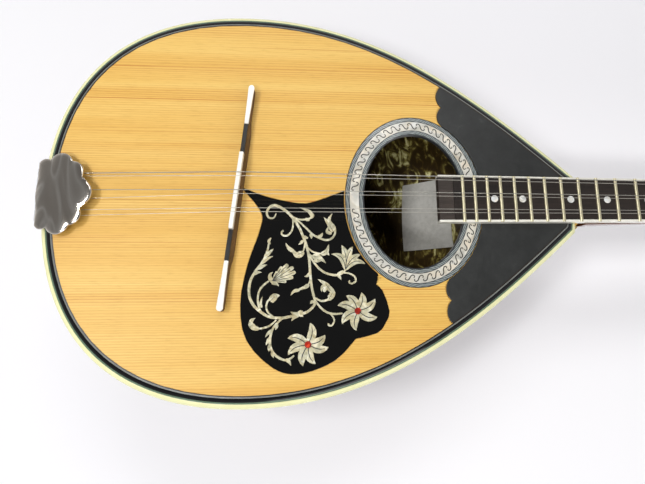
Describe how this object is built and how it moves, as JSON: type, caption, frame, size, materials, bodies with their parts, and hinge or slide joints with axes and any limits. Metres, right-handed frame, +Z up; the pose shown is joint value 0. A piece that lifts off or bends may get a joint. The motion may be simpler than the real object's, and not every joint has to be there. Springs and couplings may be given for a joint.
{
  "type": "greek bouzouki",
  "caption": "Long-necked plucked lute with a deep staved bowl, flat inlaid soundboard, slanted loose bridge, tail-anchored paired strings and a pegged head with worm tuners",
  "frame": {"origin": "middle of the overall length and width, on the surface that the instrument lies on", "axes": "+X from the tail towards the head, +Y towards the low strings, +Z up, away from the surface"},
  "size_m": [1.0062, 0.2888, 0.1816],
  "materials": {
    "stave_wood": "lacquered walnut staves",
    "inner_sheet": "thin olive-gold pearloid sheet",
    "label_paper": "bare grey label paper",
    "clasp_wood": "ebonised hardwood, lacquered",
    "cream_binding": "polished cream celluloid",
    "black_band": "polished black celluloid",
    "inner_wood": "bare spruce and cedar",
    "top_wood": "amber satin-lacquered conifer soundboard",
    "rosette_pearloid": "silver pearloid and striped rings",
    "guard_plastic": "polished black plate with pearl inlay",
    "corner_plastic": "satin dark grey celluloid",
    "bridge_wood": "oiled dark rosewood",
    "bone": "polished bone",
    "chromed_brass": "chromed pressed brass",
    "ebony": "oiled ebony with nickel frets",
    "extension_wood": "dark brown rosewood",
    "board_binding": "off-white celluloid",
    "neck_wood": "lacquered mahogany",
    "head_wood": "lacquered walnut",
    "nickel": "nickel-plated steel",
    "tuner_button": "ivory-coloured button on a steel worm shaft",
    "string_steel": "plain and wound steel wire"
  },
  "bodies": {
    "instrument_body": {"bowl_stave_1": "stave_wood", "bowl_stave_2": "stave_wood", "bowl_stave_3": "stave_wood", "bowl_stave_4": "stave_wood", "bowl_stave_5": "stave_wood", "bowl_stave_6": "stave_wood", "bowl_stave_7": "stave_wood", "bowl_stave_8": "stave_wood", "bowl_stave_9": "stave_wood", "bowl_inner_lining": "inner_sheet", "label": "label_paper", "tail_clasp": "clasp_wood", "edge_binding": "cream_binding", "rim_band": "black_band", "edge_lining": "inner_wood", "soundboard": "top_wood", "rosette": "rosette_pearloid", "pickguard": "guard_plastic", "corner_plate_bass": "corner_plastic", "corner_plate_treble": "corner_plastic", "brace_lower": "inner_wood", "brace_middle": "inner_wood", "brace_upper": "inner_wood", "tail_block": "inner_wood", "neck_block": "inner_wood", "bridge_base": "bridge_wood", "bridge_saddle": "bone", "bridge_tip_bass": "bone", "bridge_tip_treble": "bone", "tailpiece_base": "chromed_brass", "tailpiece_cover": "chromed_brass", "strap_button": "chromed_brass", "fingerboard": "ebony", "fingerboard_extension": "extension_wood", "fingerboard_binding_bass": "board_binding", "fingerboard_binding_treble": "board_binding", "nut": "bone", "neck": "neck_wood", "headstock": "head_wood", "tuner_plate_bass": "nickel", "tuner_plate_treble": "nickel", "string_1": "string_steel", "string_2": "string_steel", "string_3": "string_steel", "string_4": "string_steel", "string_5": "string_steel", "string_6": "string_steel"},
    "post_1": {"tuner_post_1": "nickel"},
    "post_2": {"tuner_post_2": "nickel"},
    "post_3": {"tuner_post_3": "nickel"},
    "post_4": {"tuner_post_4": "nickel"},
    "post_5": {"tuner_post_5": "nickel"},
    "post_6": {"tuner_post_6": "nickel"},
    "key_1": {"tuner_key_1": "tuner_button"},
    "key_2": {"tuner_key_2": "tuner_button"},
    "key_3": {"tuner_key_3": "tuner_button"},
    "key_4": {"tuner_key_4": "tuner_button"},
    "key_5": {"tuner_key_5": "tuner_button"},
    "key_6": {"tuner_key_6": "tuner_button"}
  },
  "joints": [
    {"name": "post_1_turn", "type": "hinge", "parent": "instrument_body", "child": "post_1", "pos_m": [0.37079, 0.022, 0.06084], "axis": [0.3266, 0, 0.9452], "continuous": true},
    {"name": "post_2_turn", "type": "hinge", "parent": "instrument_body", "child": "post_2", "pos_m": [0.40859, 0.022, 0.04778], "axis": [0.3266, 0, 0.9452], "continuous": true},
    {"name": "post_3_turn", "type": "hinge", "parent": "instrument_body", "child": "post_3", "pos_m": [0.4464, 0.022, 0.03472], "axis": [0.3266, 0, 0.9452], "continuous": true},
    {"name": "post_4_turn", "type": "hinge", "parent": "instrument_body", "child": "post_4", "pos_m": [0.37079, -0.022, 0.06084], "axis": [0.3266, 0, 0.9452], "continuous": true},
    {"name": "post_5_turn", "type": "hinge", "parent": "instrument_body", "child": "post_5", "pos_m": [0.40859, -0.022, 0.04778], "axis": [0.3266, 0, 0.9452], "continuous": true},
    {"name": "post_6_turn", "type": "hinge", "parent": "instrument_body", "child": "post_6", "pos_m": [0.4464, -0.022, 0.03472], "axis": [0.3266, 0, 0.9452], "continuous": true},
    {"name": "key_1_turn", "type": "hinge", "parent": "instrument_body", "child": "key_1", "pos_m": [0.37197, 0.0146, 0.03853], "axis": [0, 1, 0], "continuous": true},
    {"name": "key_2_turn", "type": "hinge", "parent": "instrument_body", "child": "key_2", "pos_m": [0.40977, 0.0146, 0.02547], "axis": [0, 1, 0], "continuous": true},
    {"name": "key_3_turn", "type": "hinge", "parent": "instrument_body", "child": "key_3", "pos_m": [0.44758, 0.0146, 0.01241], "axis": [0, 1, 0], "continuous": true},
    {"name": "key_4_turn", "type": "hinge", "parent": "instrument_body", "child": "key_4", "pos_m": [0.37197, -0.0146, 0.03853], "axis": [0, -1, 0], "continuous": true},
    {"name": "key_5_turn", "type": "hinge", "parent": "instrument_body", "child": "key_5", "pos_m": [0.40977, -0.0146, 0.02547], "axis": [0, -1, 0], "continuous": true},
    {"name": "key_6_turn", "type": "hinge", "parent": "instrument_body", "child": "key_6", "pos_m": [0.44758, -0.0146, 0.01241], "axis": [0, -1, 0], "continuous": true}
  ],
  "couplings": [
    {"joint": "key_1_turn", "follows": "post_1_turn", "ratio": 14},
    {"joint": "key_2_turn", "follows": "post_2_turn", "ratio": 14},
    {"joint": "key_3_turn", "follows": "post_3_turn", "ratio": 14},
    {"joint": "key_4_turn", "follows": "post_4_turn", "ratio": -14},
    {"joint": "key_5_turn", "follows": "post_5_turn", "ratio": -14},
    {"joint": "key_6_turn", "follows": "post_6_turn", "ratio": -14}
  ]
}
